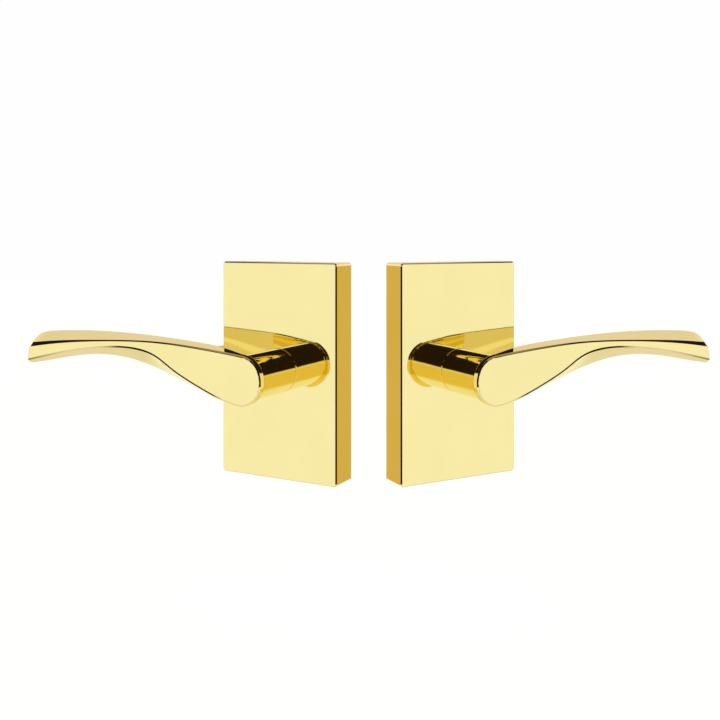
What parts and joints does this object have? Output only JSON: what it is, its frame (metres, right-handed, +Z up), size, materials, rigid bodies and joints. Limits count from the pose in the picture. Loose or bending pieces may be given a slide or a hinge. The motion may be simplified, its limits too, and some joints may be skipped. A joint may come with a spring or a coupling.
{
  "type": "lever handle lockset",
  "caption": "Polished brass passage lever set: two mirror-image trims with rectangular roses, round necks and twisted arched levers, with square spindle and tubular latch.",
  "frame": {"origin": "centre of the set's bounding box: midway between the two trims, level with the spindle axes", "axes": "+X to the right along the row of two trims, +Y away from the front, +Z up"},
  "size_m": [0.3432, 0.099, 0.1016],
  "materials": {
    "polished_brass": "mirror-polished, lacquered",
    "satin_brass": "satin",
    "zinc_plated_steel": "zinc plated, stamped",
    "spring_steel": "drawn wire and tempered strip",
    "zinc_casting": "sintered or die cast, dull",
    "black_oxide_steel": "black oxide",
    "white_nylon": "moulded"
  },
  "bodies": {
    "root": {"inside_mounting_plate": "zinc_plated_steel", "inside_return_spring": "spring_steel", "inside_rose": "polished_brass", "inside_rose_bush": "white_nylon", "inside_rose_grub_screw": "black_oxide_steel", "inside_spring_housing": "zinc_plated_steel", "inside_through_screws": "zinc_plated_steel", "latch_case": "zinc_plated_steel", "latch_collar": "satin_brass", "latch_side_plates": "zinc_plated_steel", "latch_side_rivets": "zinc_plated_steel", "latch_spring": "spring_steel", "outside_mounting_plate": "zinc_plated_steel", "outside_return_spring": "spring_steel", "outside_rose": "polished_brass", "outside_rose_bush": "white_nylon", "outside_rose_grub_screw": "black_oxide_steel", "outside_spring_housing": "zinc_plated_steel", "outside_threaded_posts": "zinc_plated_steel"},
    "outside_lever": {"outside_lever": "polished_brass", "outside_lever_set_screw": "black_oxide_steel", "outside_drive_hub": "zinc_casting", "outside_wave_washer": "spring_steel", "outside_retaining_ring": "spring_steel", "square_spindle": "zinc_plated_steel"},
    "inside_lever": {"inside_lever": "polished_brass", "inside_lever_set_screw": "black_oxide_steel", "inside_drive_hub": "zinc_casting", "inside_wave_washer": "spring_steel", "inside_retaining_ring": "spring_steel"},
    "latch_hub": {"latch_hub": "zinc_casting"},
    "latch_bolt": {"latch_bolt": "satin_brass", "latch_tail": "zinc_plated_steel", "latch_tail_pin": "zinc_plated_steel"}
  },
  "joints": [
    {"name": "outside_lever_turn", "type": "hinge", "parent": "root", "child": "outside_lever", "pos_m": [-0.0363, -0.00482, 0], "axis": [-0.4633, -0.8862, 0], "range_deg": [0, 60], "stiffness_Nm_per_rad": 0.9, "springref_deg": -34.38, "deforming": ["outside_return_spring"]},
    {"name": "inside_lever_turn", "type": "hinge", "parent": "root", "child": "inside_lever", "pos_m": [0.0363, -0.00482, 0], "axis": [-0.4633, 0.8862, 0], "range_deg": [0, 60], "stiffness_Nm_per_rad": 0.9, "springref_deg": -34.38, "deforming": ["inside_return_spring"]},
    {"name": "latch_hub_turn", "type": "hinge", "parent": "root", "child": "latch_hub", "pos_m": [-0.02819, 0.01068, 0], "axis": [-0.4633, -0.8862, 0], "range_deg": [0, 60]},
    {"name": "latch_bolt_slide", "type": "slide", "parent": "root", "child": "latch_bolt", "axis": [0.8776, -0.4588, 0.1392], "range_m": [0, 0.01], "stiffness_N_per_m": 400, "springref_m": -0.008, "deforming": ["latch_spring"]}
  ],
  "couplings": [
    {"joint": "latch_hub_turn", "follows": "outside_lever_turn", "ratio": 1},
    {"joint": "latch_bolt_slide", "follows": "outside_lever_turn", "m_per_rad": 0.0094538}
  ]
}
